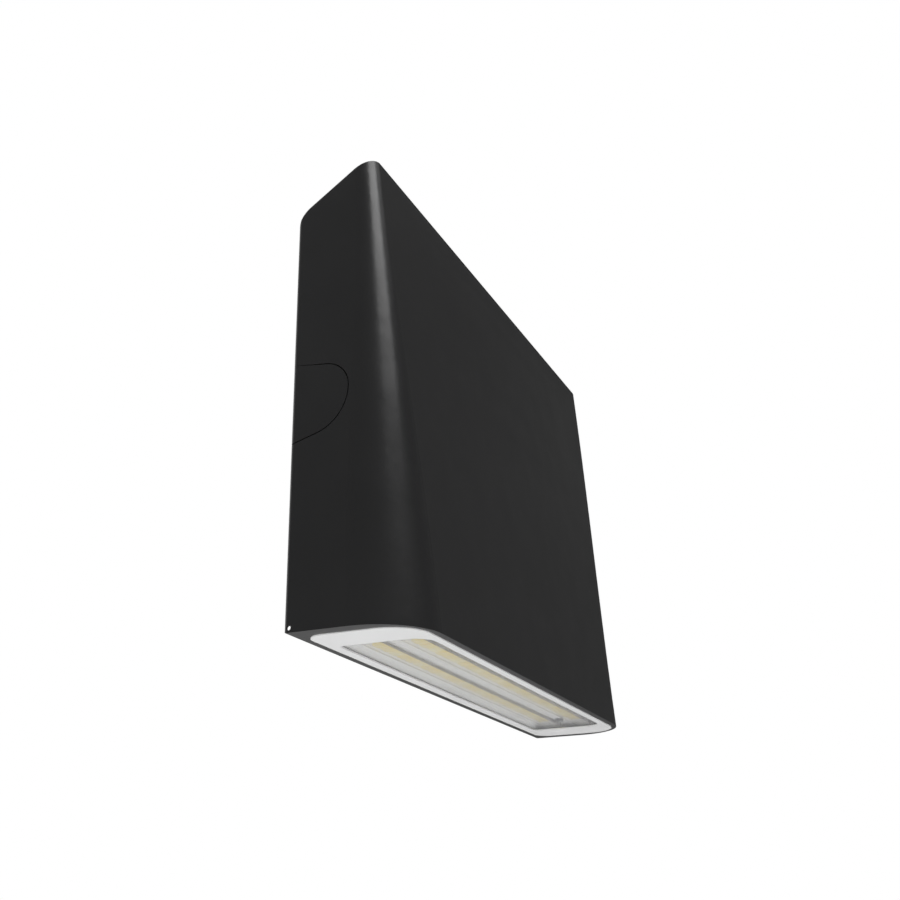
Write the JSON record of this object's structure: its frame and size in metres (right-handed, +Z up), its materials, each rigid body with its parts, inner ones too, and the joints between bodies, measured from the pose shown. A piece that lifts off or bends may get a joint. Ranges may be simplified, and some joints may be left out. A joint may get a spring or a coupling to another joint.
{
  "type": "wall pack light",
  "caption": "Slim wedge-shaped LED wall pack: black cast housing hinged at its top on a wall plate, white bezel and clear lens underneath.",
  "frame": {"origin": "centre of the wire entry, on the wall face", "axes": "+X to the right seen from the front, +Y into the wall, +Z up; the front faces -Y"},
  "size_m": [0.254, 0.0493, 0.184],
  "materials": {
    "black_coat": "satin black powder coat",
    "cover_coat": "satin black powder coat",
    "cast_plate": "bare die casting",
    "white_bezel": "glossy white",
    "clear_lens": "clear polished",
    "dark_seal": "matte",
    "foam": "closed cell foam",
    "board_white": "white solder mask",
    "led_warm": "phosphor",
    "led_cool": "phosphor",
    "optic": "clear polished",
    "reflector": "satin white",
    "sink_metal": "natural extrusion",
    "steel": "zinc plated",
    "spring_steel": "bright",
    "dark_screw": "black oxide",
    "green_screw": "green dyed zinc",
    "driver_shell": "white moulded",
    "driver_cover": "natural",
    "switch_black": "moulded",
    "knob_white": "moulded",
    "knob_red": "moulded",
    "lead_red": "insulation",
    "lead_black": "insulation",
    "lead_set": "insulation",
    "connector": "moulded",
    "grommet": "moulded"
  },
  "bodies": {
    "wall_plate": {"mounting_plate": "cast_plate", "conduit_hubs": "cast_plate", "wall_gasket": "foam", "wire_entry_grommet": "grommet", "ground_screw": "green_screw", "friction_springs": "spring_steel", "spring_rivets": "steel", "entry_cover_left": "cover_coat", "entry_cover_right": "cover_coat", "entry_seals": "dark_seal"},
    "housing": {"housing": "black_coat", "heat_sink": "sink_metal", "hinge_pins": "steel", "bezel": "white_bezel", "lens": "clear_lens", "lens_gasket": "dark_seal", "reflector_tray": "reflector", "led_board": "board_white", "warm_leds": "led_warm", "cool_leds": "led_cool", "optic_bar_rear": "optic", "optic_bar_front": "optic", "board_screws": "dark_screw", "driver_screws": "steel", "driver_case": "driver_shell", "driver_lid": "driver_cover", "selector_switch": "switch_black", "output_lead_red": "lead_red", "output_lead_black": "lead_black", "supply_leads": "lead_set", "lead_grommet": "grommet", "supply_connector": "connector"},
    "colour_slider": {"colour_slider": "knob_white"},
    "power_slider": {"power_slider": "knob_red"}
  },
  "joints": [
    {"name": "housing_hinge", "type": "hinge", "parent": "wall_plate", "child": "housing", "pos_m": [0, -0.0076, 0.0785], "axis": [-1, 0, 0], "range_deg": [0, 45]},
    {"name": "colour_slide", "type": "slide", "parent": "housing", "child": "colour_slider", "axis": [1, 0, 0], "range_m": [-0.0036, 0.0036]},
    {"name": "power_slide", "type": "slide", "parent": "housing", "child": "power_slider", "axis": [1, 0, 0], "range_m": [-0.0036, 0.0036]}
  ]
}
